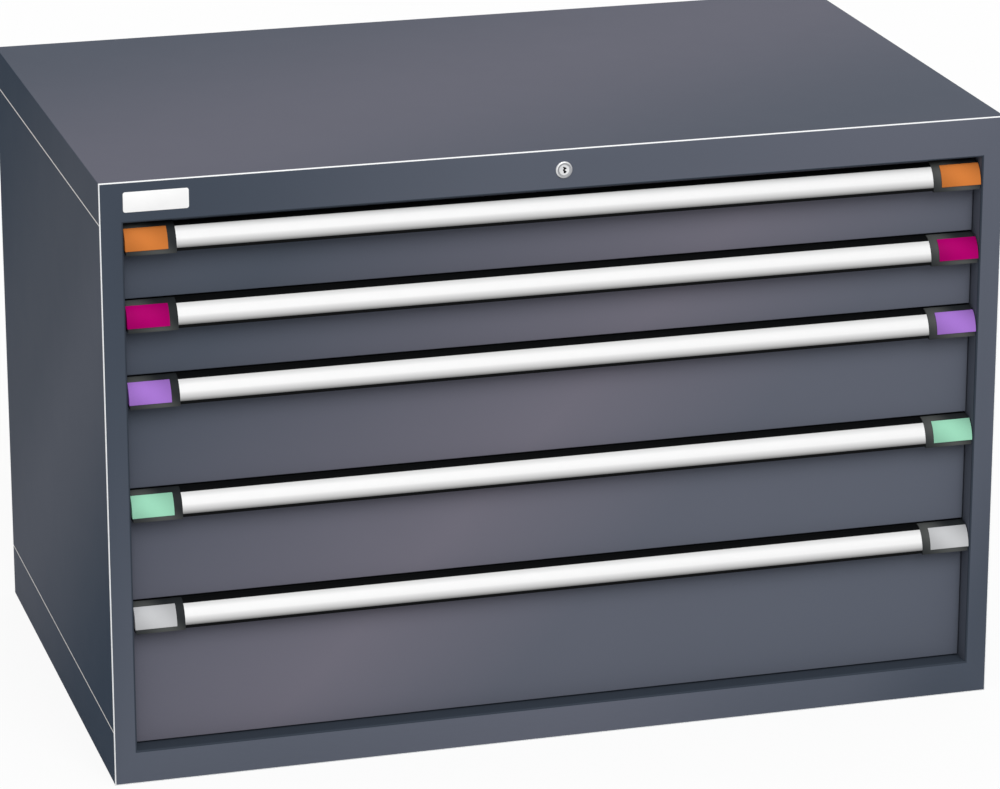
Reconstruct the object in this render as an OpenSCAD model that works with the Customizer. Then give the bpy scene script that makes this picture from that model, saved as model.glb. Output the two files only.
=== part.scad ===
// Industrial drawer cabinet: a sheet-steel shell with five full-width drawers on
// roller slides, a central lock and a label strip along every handle.
// The origin is on the floor, under the middle of the cabinet. +Z is up, and the
// drawers open towards -Y. Drawers are counted from the top.

/* [Cabinet shell] */
// Width over the side panels
cabinet_w = 1193; // [1023:1:1431]
// Depth from the front frame to the back panel
cabinet_d = 725; // [700:1:860]
// Thickness of the shell's steel sheet
sheet_t = 1.5; // [1:0.1:2]
// Height of the top panel's side flanges
top_flange_h = 53; // [30:1:90]
// Height of the base panel's side flanges
base_flange_h = 72; // [40:1:120]
// Open seam between a side panel and the flange above or below it
seam_w = 0.8; // [0.4:0.1:0.9]
// Reach of the lap strip behind a flange
lap_h = 16; // [8:1:24]

/* [Front frame] */
// Width of each stile
stile_w = 30; // [26:1:45]
// Height of the top rail
top_rail_h = 53; // [50:1:80]
// Height of the bottom rail
bottom_rail_h = 45; // [20:1:100]
// Depth of the folded returns round the opening
frame_return_d = 30; // [28:1:40]
// Width of the blank name plate
plate_w = 83; // [60:1:120]
// Height of the blank name plate
plate_h = 26; // [18:1:30]
// Thickness of the blank name plate
plate_t = 0.8; // [0.5:0.1:1.5]
// Corner radius of the blank name plate
plate_r = 3; // [1:0.5:6]
// Distance of the name plate's upper edge below the cabinet's top
plate_drop = 13; // [4:1:18]

/* [Drawers] */
// Front pitch of the two shallow drawers
shallow_pitch = 100; // [100:25:150]
// Front pitch of the two middle drawers
middle_pitch = 150; // [100:25:250]
// Front pitch of the deep drawer
deep_pitch = 200; // [100:25:300]
// Gap between neighbouring fronts, and above and below the stack
front_gap = 2; // [1:0.5:4]
// Gap between a front and each stile
front_side_gap = 1.5; // [1:0.5:3]
// Distance of the fronts behind the frame's face
front_recess = 24; // [23:0.5:26]
// Thickness of the drawers' steel sheet
drawer_t = 1.5; // [1:0.1:2]
// Depth of the fold round each front
front_fold_d = 12; // [8:1:13]
// Clear depth inside a tray
tray_clear_l = 612; // [510:17:646]
// Height of the first front above the line where its grip starts, hidden by the top rail
front_head = 5; // [0:0.5:8]
// Height by which a tray's walls are lower than its front's upper edge
wall_drop = 15; // [12:1:22]
// Height of a tray's underside above its front's lower edge
tray_lift = 8; // [5:1:12]
// Gap left between two pieces that are riveted or clipped together
seat_gap = 0.1; // [0.05:0.05:0.2]

/* [Handles] */
// Height of the grip's curved profile
grip_h = 33; // [30:1:38]
// Reach of the grip in front of the drawer
grip_reach = 24; // [20:0.5:25]
// Wall thickness of the grip
grip_t = 2.2; // [1.8:0.1:2.6]
// Distance of the grip's top below the front's upper edge
grip_drop = 0.5; // [0.5:0.5:4]
// Depth of the lip turned in at the grip's lower edge
grip_lip_d = 6; // [4:0.5:7]
// Height of the web that is screwed to the front
grip_web_h = 14; // [10:1:16]
// Thickness of the label strip
label_t = 0.8; // [0.5:0.1:1]
// Lower edge of the label strip, in degrees round the grip's curve
label_from = 7; // [5:1:12]
// Upper edge of the label strip, in degrees round the grip's curve
label_to = 61; // [50:1:70]
// Width of each end cap
cap_w = 65; // [58:1:90]
// Height of an end cap's curve over the grip's curve
cap_over = 1.2; // [0.8:0.1:1.5]
// Wall thickness of an end cap
cap_t = 2.5; // [2:0.1:3]
// Distance that an end cap reaches below the grip
cap_drop = 2; // [0:0.5:4]
// Width of each coloured clip
clip_w = 54; // [30:1:56]
// Thickness of each coloured clip
clip_t = 1; // [0.6:0.1:1.2]

/* [Slides] */
// Thickness of the channel rails
rail_t = 2; // [1.5:0.1:2.5]
// Diameter of the rollers
roller_d = 26; // [20:1:30]
// Width of the rollers
roller_w = 9; // [7:0.5:11]
// Gap between a roller and the flanges that it runs between
roller_gap = 0.3; // [0.2:0.05:0.5]
// Play of a roller along its pin
roller_play = 1; // [0.5:0.1:1.5]
// Diameter of the roller pins
pin_d = 8; // [5:0.5:10]
// Clearance of a roller on its pin, on the radius
pin_clear = 0.05; // [0.02:0.01:0.1]
// Thickness of the carriage plates
carriage_t = 3; // [2:0.5:4]
// Height of the carriage plates
carriage_h = 24; // [18:1:28]
// Gap between a carriage plate and the rails on either side of it
slide_gap = 1.5; // [1:0.1:2]
// Gap between a carriage plate and the stile that it passes
pass_gap = 3.5; // [2:0.5:6]
// Height of the rails' underside above the tray's underside
rail_lift = 6; // [3:1:10]
// Space between the fixed rails and the back panel
rail_back_gap = 30; // [10:1:40]
// Width of each upright
upright_w = 40; // [30:1:60]
// Thickness of the uprights
upright_t = 2; // [1.5:0.1:3]

/* [Lock] */
// Distance of the lock's centre below the cabinet's top
lock_drop = 27; // [24:1:28]
// Diameter of the lock's rosette
rosette_d = 22; // [20:1:26]
// Height of the rosette over the frame's face
rosette_t = 2; // [1:0.5:3]
// Diameter of the lock's barrel
barrel_d = 18; // [16.5:0.5:19]
// Clearance round the barrel in the top rail
barrel_clear = 0.1; // [0.05:0.05:0.3]
// Diameter of the lock's core
core_d = 14; // [12:0.5:15]
// Clearance of the core in its barrel, on the radius
core_clear = 0.05; // [0.02:0.01:0.1]
// Height of the keyway
key_h = 8; // [6:0.5:9]
// Width of the keyway
key_w = 2; // [1.5:0.1:3]
// Depth of the keyway
key_d = 12; // [6:1:18]
// Travel of the lock bar over a quarter turn of the core
lock_throw = 12; // [11:0.5:13]
// Thickness of the cam and of the cross rod
lock_plate_t = 3; // [2:0.5:4]
// Diameter of the cam's pin and of the lock bar's pin
lock_pin_d = 5; // [4:0.5:6]
// Clearance of a lock pin in its slot, on each side
lock_slot_clear = 0.5; // [0.4:0.1:0.8]
// Height of the cross rod
rod_h = 16; // [15:1:18]
// Width of the lock bar
bar_w = 8; // [6:0.5:9]
// Thickness of the lock bar
bar_t = 6; // [5:0.5:7]
// Clearance of the cross rod and of the lock bar in their guides
guide_clear = 0.3; // [0.2:0.1:0.5]
// Wall thickness of the guides
guide_t = 3; // [2:0.5:4]
// Height of the catches above their trays' underside
catch_lift = 52; // [46:1:54]
// Height of each catch and of each hook
catch_h = 8; // [6:0.5:9]
// Reach of a catch from its tray's wall
catch_reach = 10; // [8:0.5:12]
// Gap between a catch and the hook above it while the lock is open
hook_gap = 2; // [1:0.5:3]

/* [Hidden] */
$fn = 64;
// Distance that a cut runs past the faces it goes through
past = 1;

// Height layout, counted from the top drawer
pitches = [shallow_pitch, shallow_pitch, middle_pitch, middle_pitch, deep_pitch];
last_drawer = len(pitches) - 1;
drawers = [0 : last_drawer];
function total(list, first) = first >= len(list) ? 0 : list[first] + total(list, first + 1);
opening_z0 = bottom_rail_h;
opening_z1 = opening_z0 + total(pitches, 0) + front_gap;
cabinet_h = opening_z1 + top_rail_h;
function front_line(k) = opening_z1 - front_gap - front_head - total(pitches, 0) + total(pitches, k);
function front_z0(k) = k == last_drawer ? opening_z0 + front_gap : front_line(k + 1) + front_gap;
function front_z1(k) = k == 0 ? opening_z1 - front_gap : front_line(k);
function tray_z0(k) = front_z0(k) + tray_lift;
function wall_z1(k) = front_z1(k) - wall_drop;

// Depth layout, from the frame's face backwards
front_y = -cabinet_d / 2;
back_y = cabinet_d / 2;
shell_y = front_y + sheet_t;
face_y = front_y + front_recess;
front_y1 = face_y + drawer_t;
tray_y0 = front_y1 + seat_gap;
tray_y1 = tray_y0 + tray_clear_l + 2 * drawer_t;
lock_step = 2;
bar_setback = 5.5;
rod_y0 = front_y + frame_return_d + bar_setback;
rod_y1 = rod_y0 + lock_plate_t;
bar_y0 = rod_y1 + lock_step;
bar_y1 = bar_y0 + bar_t;
rail_y0 = bar_y1 + bar_setback;
rail_y1 = back_y - sheet_t - rail_back_gap;
upright_inset = 6;

// Width layout of the right-hand side, from the opening inwards and outwards
side_x = cabinet_w / 2;
opening_x = side_x - stile_w;
front_x = opening_x - front_side_gap;
channel_d = rail_t + roller_w + 2 * roller_play;
plate_x1 = opening_x - pass_gap;
plate_x0 = plate_x1 - carriage_t;
runner_x1 = plate_x0 - slide_gap;
runner_x0 = runner_x1 - channel_d;
wall_x = runner_x0 - seat_gap;
fixed_x0 = plate_x1 + slide_gap;
fixed_x1 = fixed_x0 + channel_d;
upright_x1 = side_x - 2 * sheet_t;

// Slide layout: one axis at the front, one in the middle and one at the rear
rail_h = roller_d + 2 * roller_gap + 2 * rail_t;
function rail_z(k) = tray_z0(k) + rail_lift + rail_h / 2;
rail_end = 2;
axis_inset = roller_d / 2 + rail_end;
axis_front = rail_y0 + axis_inset;
axis_middle = (rail_y0 + tray_y1) / 2;
axis_rear = rail_y1 - axis_inset;
inner_roller_x = runner_x0 + rail_t + roller_play;
outer_roller_x = fixed_x0 + roller_play;

// Grip curve: a quarter ellipse from the lip at 0 degrees to the front at 90 degrees
curve_steps = 18;
function grip_z(k) = front_line(k) - grip_drop - grip_h;
function curve(over, from, to) =
    [for (i = [0 : curve_steps])
        let (angle = from + (to - from) * i / curve_steps)
        [-(grip_reach + over) * cos(angle), (grip_h + over) * sin(angle)]];
function band(low, high, from, to) = concat(curve(low, from, to), curve(high, to, from));

// Lock layout
lock_z = cabinet_h - lock_drop;
cam_r = lock_throw / sqrt(2);
cam_y1 = rod_y0 - lock_step;
cam_y0 = cam_y1 - lock_plate_t;
tang_w = core_d / 2;
core_sink = 0.5;
cam_wall = 1;
pin_proud = 1;
rod_zc = lock_z - cam_r * (1 + cos(45)) / 2;
bar_side_gap = 0.5;
bar_x1 = fixed_x1 - bar_side_gap;
bar_x0 = bar_x1 - bar_w;
bar_x = (bar_x0 + bar_x1) / 2;
bar_pin_z = rod_zc + lock_throw / 2;
rod_end = 5;
rod_x0 = -cam_r * sin(45) - lock_pin_d - rod_end;
rod_head_x = 6;
rod_wall = 4;
rod_head_z = lock_throw / 2 + lock_pin_d / 2 + rod_wall;
function catch_z0(k) = tray_z0(k) + catch_lift;
function hook_z0(k) = catch_z0(k) + catch_h + hook_gap;
bar_end = 14;
guided_drawers = [0, 2, 4];
bar_guide_gap = 10;
bar_guide_lift = catch_lift + 2 * catch_h + hook_gap + bar_guide_gap;
bar_guide_h = 8;
rod_guides_x = [cabinet_w / 8, cabinet_w * 3 / 8];
rod_guide_w = 12;

// Paint and plastic colours
steel_paint = "#5b616d";
dark_paint = "#454c57";
zinc = "#b9bcc0";
black_plastic = "#17181a";
cap_grey = "#34373a";
clip_colors = ["#d67f3b", "#ae006a", "#a877d3", "#9ad6b8", "#c8c9cb"];

function each_drawer(part) = [for (k = drawers) str("drawer_", k + 1, "_", part)];
function each_slide(part) = [for (k = drawers) str("slide_", k + 1, "_", part)];

// A box between two values on each axis
module slab(x, y, z) {
    translate([x[0], y[0], z[0]])
        cube([x[1] - x[0], y[1] - y[0], z[1] - z[0]]);
}

// The same shape on the left and on the right
module both_sides() {
    children();
    mirror([1, 0, 0]) children();
}

// A profile drawn in Y and Z, run along X
module along_x(x0, x1, y, z) {
    translate([x0, y, z])
        rotate([90, 0, 90])
            linear_extrude(x1 - x0) children();
}

// A round bar along X
module round_along_x(diameter, x0, x1, y, z) {
    translate([x0, y, z])
        rotate([0, 90, 0])
            cylinder(h = x1 - x0, d = diameter);
}

// A round bar along Y
module round_along_y(diameter, x, y0, y1, z) {
    translate([x, y1, z])
        rotate([90, 0, 0])
            cylinder(h = y1 - y0, d = diameter);
}

module top_panel() {
    color(steel_paint) {
        slab([-side_x, side_x], [shell_y, back_y], [cabinet_h - sheet_t, cabinet_h]);
        both_sides()
            slab([side_x - sheet_t, side_x], [shell_y, back_y],
                 [cabinet_h - top_flange_h, cabinet_h - sheet_t / 2]);
    }
}

module base_panel() {
    color(steel_paint) {
        slab([-side_x, side_x], [shell_y, back_y], [0, sheet_t]);
        both_sides()
            slab([side_x - sheet_t, side_x], [shell_y, back_y], [sheet_t / 2, base_flange_h]);
    }
}

// A side sheet between the two flanges, with lap strips behind them
module side_panel() {
    panel_z0 = base_flange_h + seam_w;
    panel_z1 = cabinet_h - top_flange_h - seam_w;
    color(dark_paint) {
        slab([side_x - sheet_t, side_x], [shell_y, back_y], [panel_z0, panel_z1]);
        for (edge = [panel_z0, panel_z1])
            slab([side_x - 2 * sheet_t, side_x - sheet_t], [shell_y, back_y - sheet_t],
                 [edge - lap_h, edge + lap_h]);
    }
}

module right_side_panel() {
    side_panel();
}

module left_side_panel() {
    mirror([1, 0, 0]) side_panel();
}

module back_panel() {
    inner_x = side_x - sheet_t;
    color(dark_paint)
        slab([-inner_x, inner_x], [back_y - sheet_t, back_y], [sheet_t, cabinet_h - sheet_t]);
}

// Two stiles and two rails, each folded back round the opening
module front_frame() {
    face = [front_y, shell_y];
    fold = [front_y, front_y + frame_return_d];
    color(steel_paint) difference() {
        union() {
            both_sides() {
                slab([opening_x, side_x], face, [0, cabinet_h]);
                slab([opening_x, opening_x + sheet_t], fold, [sheet_t, cabinet_h - sheet_t]);
            }
            slab([-side_x, side_x], face, [opening_z1, cabinet_h]);
            slab([-side_x, side_x], face, [0, opening_z0]);
            slab([-opening_x, opening_x], fold, [opening_z1, opening_z1 + sheet_t]);
            slab([-opening_x, opening_x], fold, [opening_z0 - sheet_t, opening_z0]);
        }
        round_along_y(barrel_d + 2 * barrel_clear, 0, front_y - past, shell_y + past, lock_z);
    }
}

// Four channel columns that carry the fixed rails
module uprights() {
    column_z = [sheet_t, cabinet_h - sheet_t];
    front_y0 = rail_y0 + upright_inset;
    rear_y0 = rail_y1 - upright_inset - upright_w;
    color(zinc) both_sides()
        for (y0 = [front_y0, rear_y0])
            difference() {
                slab([fixed_x1, upright_x1], [y0, y0 + upright_w], column_z);
                slab([fixed_x1 + upright_t, upright_x1 + past],
                     [y0 + upright_t, y0 + upright_w - upright_t],
                     [column_z[0] - past, column_z[1] + past]);
            }
}

// A channel rail that is open towards the carriage
module channel_rail(x0, x1, y, z, open_outwards) {
    wall = open_outwards ? rail_t : -rail_t;
    difference() {
        slab([x0, x1], y, [z - rail_h / 2, z + rail_h / 2]);
        slab([x0 + wall, x1 + wall], [y[0] - past, y[1] + past],
             [z - rail_h / 2 + rail_t, z + rail_h / 2 - rail_t]);
    }
}

module fixed_rails() {
    color(zinc)
        for (k = drawers)
            both_sides() channel_rail(fixed_x0, fixed_x1, [rail_y0, rail_y1], rail_z(k), false);
}

// A blank plate with round corners on the top rail
module name_plate() {
    plate_z1 = cabinet_h - plate_drop;
    color("white")
        translate([-opening_x, front_y, plate_z1 - plate_h])
            rotate([90, 0, 0])
                linear_extrude(plate_t) {
                    translate([plate_r, 0]) square([plate_w - 2 * plate_r, plate_h]);
                    translate([0, plate_r]) square([plate_w, plate_h - 2 * plate_r]);
                    for (x = [plate_r, plate_w - plate_r], z = [plate_r, plate_h - plate_r])
                        translate([x, z]) circle(plate_r);
                }
}

// A rosette and a barrel with the bore for the core
module lock_housing() {
    color(zinc) difference() {
        union() {
            round_along_y(rosette_d, 0, front_y - rosette_t, front_y, lock_z);
            round_along_y(barrel_d, 0, front_y - rosette_t, cam_y0 - lock_step, lock_z);
        }
        round_along_y(core_d + 2 * core_clear, 0, front_y - rosette_t - past, cam_y0, lock_z);
    }
}

// A round core with its keyway, and a square tang for the cam
module lock_core() {
    core_y0 = front_y - rosette_t + core_sink;
    color("#d9dadc") {
        difference() {
            round_along_y(core_d, 0, core_y0, cam_y0, lock_z);
            slab([-key_w / 2, key_w / 2], [core_y0 - past, core_y0 + key_d],
                 [lock_z - key_h / 2, lock_z + key_h / 2]);
        }
        slab([-tang_w / 2, tang_w / 2], [cam_y0 - past, cam_y1],
             [lock_z - tang_w / 2, lock_z + tang_w / 2]);
    }
}

// A lever on the tang, pointing down to the left, with the pin that drives the cross rod
module lock_cam() {
    color(zinc)
        translate([0, 0, lock_z]) rotate([0, 45, 0]) {
            difference() {
                union() {
                    round_along_y(core_d, 0, cam_y0, cam_y1, 0);
                    slab([-lock_pin_d / 2, lock_pin_d / 2], [cam_y0, cam_y1], [-cam_r, 0]);
                    round_along_y(lock_pin_d + 2 * cam_wall, 0, cam_y0, cam_y1, -cam_r);
                }
                rotate([0, -45, 0])
                    slab([-tang_w / 2, tang_w / 2], [cam_y0 - past, cam_y1 + past],
                         [-tang_w / 2, tang_w / 2]);
            }
            round_along_y(lock_pin_d, 0, cam_y0, rod_y1 + pin_proud, -cam_r);
        }
}

// A square-ended slot for a lock pin between two centres in X and Z, through the cross rod
module rod_slot(a, b) {
    slot_w = lock_pin_d + 2 * lock_slot_clear;
    run = b - a;
    translate([a[0], 0, a[1]])
        rotate([0, -atan2(run[1], run[0]), 0])
            slab([-slot_w / 2, norm(run) + slot_w / 2], [rod_y0 - past, rod_y1 + past],
                 [-slot_w / 2, slot_w / 2]);
}

// A flat bar across the top of the cabinet, from the cam to the lock bar
module lock_rod() {
    cam_x = -cam_r * sin(45);
    pin_a = [bar_x, bar_pin_z];
    pin_b = pin_a - [lock_throw, lock_throw];
    color(zinc) difference() {
        union() {
            slab([rod_x0, bar_x], [rod_y0, rod_y1], [rod_zc - rod_h / 2, rod_zc + rod_h / 2]);
            slab([pin_b[0] - rod_head_x, bar_x + rod_head_x], [rod_y0, rod_y1],
                 [rod_zc - rod_head_z, rod_zc + rod_head_z]);
        }
        rod_slot([cam_x, lock_z - cam_r], [cam_x, lock_z - cam_r * cos(45)]);
        rod_slot(pin_a, pin_b);
    }
}

// An upright bar with one hook riveted on for each drawer, and the pin that the cross rod moves
module lock_bar() {
    last = len(pitches) - 1;
    color(zinc) {
        slab([bar_x0, bar_x1], [bar_y0, bar_y1], [hook_z0(last) - bar_end, bar_pin_z + rod_head_x]);
        for (k = drawers)
            slab([wall_x + hook_gap, bar_x0 - seat_gap], [bar_y0, bar_y1],
                 [hook_z0(k), hook_z0(k) + catch_h]);
        round_along_y(lock_pin_d, bar_x, rod_y0 - pin_proud, bar_y0 + bar_t / 2, bar_pin_z);
    }
}

// Guides on the front upright for the lock bar, and under the top for the cross rod
module lock_guides() {
    color(dark_paint) {
        for (k = guided_drawers)
            let (z = tray_z0(k) + bar_guide_lift)
            difference() {
                slab([bar_x0 - guide_t, upright_x1 - guide_t],
                     [bar_y0 - guide_t, rail_y0 + upright_inset], [z, z + bar_guide_h]);
                slab([bar_x0 - guide_clear, bar_x1 + guide_clear],
                     [bar_y0 - guide_clear, bar_y1 + guide_clear],
                     [z - past, z + bar_guide_h + past]);
            }
        for (x = rod_guides_x)
            difference() {
                slab([x, x + rod_guide_w], [rod_y0 - guide_t, rod_y1 + guide_t],
                     [rod_zc - rod_h / 2 - guide_t, cabinet_h - sheet_t]);
                slab([x - past, x + rod_guide_w + past],
                     [rod_y0 - guide_clear, rod_y1 + guide_clear],
                     [rod_zc - rod_h / 2 - guide_clear, rod_zc + rod_h / 2 + guide_clear]);
            }
    }
}

// A front folded round its four edges
module front_pan(k) {
    difference() {
        slab([-front_x, front_x], [face_y, front_y1 + front_fold_d], [front_z0(k), front_z1(k)]);
        slab([-front_x + drawer_t, front_x - drawer_t], [front_y1, front_y1 + front_fold_d + past],
             [front_z0(k) + drawer_t, front_z1(k) - drawer_t]);
    }
}

// A tray that is open at the top
module tray(k) {
    inner_x = wall_x - drawer_t;
    difference() {
        slab([-wall_x, wall_x], [tray_y0, tray_y1], [tray_z0(k), wall_z1(k)]);
        slab([-inner_x, inner_x], [tray_y0 + drawer_t, tray_y1 - drawer_t],
             [tray_z0(k) + drawer_t, wall_z1(k) + past]);
    }
}

// A riveted drawer: its front, its tray, a runner on each side and the lock's catch
module drawer_box(k) {
    catch_y0 = bar_y1 + lock_step / 2;
    color(steel_paint) {
        front_pan(k);
        tray(k);
        both_sides()
            channel_rail(runner_x0, runner_x1, [rail_y0, tray_y1], rail_z(k), true);
        slab([runner_x0, wall_x + catch_reach], [catch_y0, catch_y0 + bar_t],
             [catch_z0(k), catch_z0(k) + catch_h]);
    }
}

// A black grip, curved outwards, with a turned-in lip and a web on the front
module drawer_handle(k) {
    handle_x = front_x - cap_w;
    lip_y = -grip_reach + grip_lip_d;
    color(black_plastic) along_x(-handle_x, handle_x, face_y, grip_z(k)) {
        polygon(band(-grip_t, 0, 0, 90));
        translate([-grip_reach, 0]) square([lip_y + grip_reach, grip_t]);
        translate([-grip_t, grip_h - grip_web_h]) square([grip_t, grip_web_h]);
    }
}

module drawer_label_strip(k) {
    handle_x = front_x - cap_w;
    color("white") along_x(-handle_x, handle_x, face_y, grip_z(k))
        polygon(band(seat_gap, seat_gap + label_t, label_from, label_to));
}

// A hollow end cap whose outer end is closed
module drawer_end_caps(k) {
    color(cap_grey) both_sides() {
        along_x(front_x - cap_w, front_x, face_y, grip_z(k)) {
            polygon(band(cap_over - cap_t, cap_over, 0, 90));
            translate([-grip_reach - cap_over, -cap_drop]) square([cap_t, cap_drop + cap_t]);
        }
        along_x(front_x - cap_t, front_x, face_y, grip_z(k)) {
            polygon(concat([[0, 0]], curve(cap_over, 0, 90)));
            translate([-grip_reach - cap_over, -cap_drop]) square([grip_reach + cap_over, cap_drop]);
        }
    }
}

module drawer_clips(k) {
    clip_over = cap_over + seat_gap;
    color(clip_colors[k]) both_sides()
        along_x(front_x - clip_w, front_x, face_y, grip_z(k))
            polygon(band(clip_over, clip_over + clip_t, label_from, label_to));
}

// A pair of carriage plates with the pins of their rollers
module slide_carriages(k) {
    z = rail_z(k);
    inner_end = inner_roller_x;
    outer_end = outer_roller_x + roller_w;
    color(zinc) both_sides() {
        slab([plate_x0, plate_x1], [axis_front - carriage_h / 2, axis_rear + carriage_h / 2],
             [z - carriage_h / 2, z + carriage_h / 2]);
        round_along_x(pin_d, inner_end, plate_x1, axis_front, z);
        round_along_x(pin_d, inner_end, outer_end, axis_middle, z);
        round_along_x(pin_d, plate_x0, outer_end, axis_rear, z);
    }
}

// A roller with the bore for its pin
module roller(x0, y, z) {
    difference() {
        round_along_x(roller_d, x0, x0 + roller_w, y, z);
        round_along_x(pin_d + 2 * pin_clear, x0 - past, x0 + roller_w + past, y, z);
    }
}

module slide_front_rollers(k) {
    color(black_plastic) both_sides() roller(inner_roller_x, axis_front, rail_z(k));
}

module slide_middle_rollers(k) {
    color(black_plastic) both_sides() {
        roller(inner_roller_x, axis_middle, rail_z(k));
        roller(outer_roller_x, axis_middle, rail_z(k));
    }
}

module slide_rear_rollers(k) {
    color(black_plastic) both_sides() roller(outer_roller_x, axis_rear, rail_z(k));
}

top_panel();
base_panel();
left_side_panel();
right_side_panel();
back_panel();
front_frame();
uprights();
fixed_rails();
name_plate();
lock_housing();
lock_core();
lock_cam();
lock_rod();
lock_bar();
lock_guides();
for (k = drawers) {
    drawer_box(k);
    drawer_handle(k);
    drawer_label_strip(k);
    drawer_end_caps(k);
    drawer_clips(k);
    slide_carriages(k);
    slide_front_rollers(k);
    slide_middle_rollers(k);
    slide_rear_rollers(k);
}
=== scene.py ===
"""The finished look of a steel drawer cabinet, built round its CAD frame."""
import math

import bmesh
import bpy
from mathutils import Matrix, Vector


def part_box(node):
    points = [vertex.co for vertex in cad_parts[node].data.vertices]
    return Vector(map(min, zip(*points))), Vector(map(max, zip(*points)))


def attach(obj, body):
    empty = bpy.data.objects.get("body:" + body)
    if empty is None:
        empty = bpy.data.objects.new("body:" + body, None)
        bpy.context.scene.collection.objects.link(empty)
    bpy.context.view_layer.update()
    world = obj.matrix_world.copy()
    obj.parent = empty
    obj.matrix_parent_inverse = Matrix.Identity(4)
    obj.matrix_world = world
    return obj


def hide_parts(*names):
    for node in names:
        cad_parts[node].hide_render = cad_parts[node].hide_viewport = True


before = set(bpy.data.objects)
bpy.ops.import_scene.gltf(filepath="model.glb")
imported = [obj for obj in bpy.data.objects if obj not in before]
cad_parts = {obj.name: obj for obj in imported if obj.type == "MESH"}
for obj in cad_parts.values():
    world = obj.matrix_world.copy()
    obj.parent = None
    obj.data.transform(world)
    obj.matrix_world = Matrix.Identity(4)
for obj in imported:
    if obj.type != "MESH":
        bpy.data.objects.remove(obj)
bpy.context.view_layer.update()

bl_info = {
    "name": "Drawer cabinet",
    "version": (1, 0, 0),
    "blender": (4, 5, 0),
    "location": "3D View > Sidebar > Cabinet",
    "description": "Builds the panels, drawers, grips, slides and lock of a drawer cabinet",
    "category": "Add Mesh",
}

# Layout of the cabinet, read from the frame
DRAWERS = range(1, 6)
FRAME_LO, FRAME_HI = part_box("front_frame")
SIDE_X = FRAME_HI.x
HEIGHT = FRAME_HI.z
FRONT_Y = FRAME_LO.y
RETURN_Y = FRAME_HI.y
BACK_LO, BACK_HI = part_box("back_panel")
BACK_Y = BACK_HI.y
SHEET = BACK_HI.y - BACK_LO.y
TOP_SEAM_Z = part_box("top_panel")[0].z
BASE_SEAM_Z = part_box("base_panel")[1].z
BOXES = {n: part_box(f"drawer_{n}_box") for n in DRAWERS}
FRONT_GAP = BOXES[1][0].z - BOXES[2][1].z
FACE_Y = BOXES[1][0].y
FRONT_X = BOXES[1][1].x
OPENING_Z0 = BOXES[5][0].z - FRONT_GAP
OPENING_Z1 = BOXES[1][1].z + FRONT_GAP
LOCK_LO, LOCK_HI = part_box("lock_housing")
LOCK_Z = (LOCK_LO.z + LOCK_HI.z) / 2

# Layout of the slides inside the cabinet
ROLLER_LO, ROLLER_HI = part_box("slide_1_front_rollers")
RAILS_LO, RAILS_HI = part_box("fixed_rails")
UPRIGHTS_LO, UPRIGHTS_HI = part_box("uprights")
SEAT_GAP = 0.0001
RAIL_WALL = 0.002
RAIL_FOLD = 0.003
ROLLER_RADIUS = (ROLLER_HI.z - ROLLER_LO.z) / 2
ROLLER_GAP = 0.0003
ROLLER_WIDTH = 0.009
ROLLER_PLAY = 0.001
PIN_RADIUS = 0.004
RAIL_HEIGHT = 2 * (ROLLER_RADIUS + RAIL_WALL + ROLLER_GAP)
RAIL_DEPTH = RAIL_WALL + ROLLER_WIDTH + 2 * ROLLER_PLAY
RAIL_LIFT = 0.006
RAIL_Y0 = RAILS_LO.y
RUNNER_X = ROLLER_HI.x + ROLLER_PLAY
TRAY_X = RUNNER_X - RAIL_DEPTH - SEAT_GAP
TRAY_LIFT = RAILS_LO.z - RAIL_LIFT - BOXES[5][0].z
RAIL_Z = {n: BOXES[n][0].z + TRAY_LIFT + RAIL_LIFT for n in DRAWERS}
WALL_DROP = 0.015
FRONT_FOLD = 0.0135
PLATE_WALL = 0.003
PLATE_X = RUNNER_X + 0.0015
UPRIGHT_WIDTH = 0.04

# Where the rollers on each axis of a carriage begin in X
INNER_ROLLER = ROLLER_HI.x - ROLLER_WIDTH
OUTER_ROLLER = RAILS_HI.x - RAIL_WALL - ROLLER_PLAY - ROLLER_WIDTH
ROLLERS = {"front": (INNER_ROLLER,), "middle": (INNER_ROLLER, OUTER_ROLLER), "rear": (OUTER_ROLLER,)}

# Catches that the lock holds, one on each drawer
CATCH_LIFT = 0.052
CATCH_HEIGHT = 0.008
CATCH_DEPTH = 0.006
CATCH_REACH = 0.0099
CATCH_GAP = 0.001

# Angles of the label strips round the grip's curve, and the clips on the end caps
LABEL_LOW = 7.0
LABEL_HIGH = 61.0
CLIP_WALL = 0.001
CLIP_WIDTH = 0.054
CHEEK_WALL = 0.0008
CHEEK_INSET = 0.003

# Turns of a face past which its edge is shaded sharp, and past which it is rounded off, in degrees
SHARP_ANGLE = 35
SOFT_ANGLE = 40

# Light levels, and the camera's place, aim in degrees and focal length in pixels of the image
SKY_LIGHT = 0.58
KEY_LIGHT = 0.59
KEY_ANGLE = 40.0
KEY_FROM = (0.02, -0.76, 0.65)
IMAGE_WIDTH_PX = 1000
CAMERA_FOCUS_PX = 4545
CAMERA_PLACE = (-1.5975, -5.6645, 2.301)
CAMERA_YAW = 15.932
CAMERA_PITCH = 18.259

# Half the width of the floor, and its depth under the cabinet, so that the two don't flicker
FLOOR_REACH = 60.0
FLOOR_DROP = 0.0004


def srgb(code):
    """Linear colour of a hex code such as #5b606c."""
    shares = [int(code[i:i + 2], 16) / 255 for i in (1, 3, 5)]
    return tuple(v / 12.92 if v <= 0.04045 else ((v + 0.055) / 1.055) ** 2.4 for v in shares)


def middle_of(node):
    """The middle of a node's box."""
    low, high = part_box(node)
    return (low + high) / 2


def length(name, description, default):
    """A length in metres that a user may change."""
    return bpy.props.FloatProperty(
        name=name, description=description, default=default, min=0.0, precision=5, unit="LENGTH")


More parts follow.
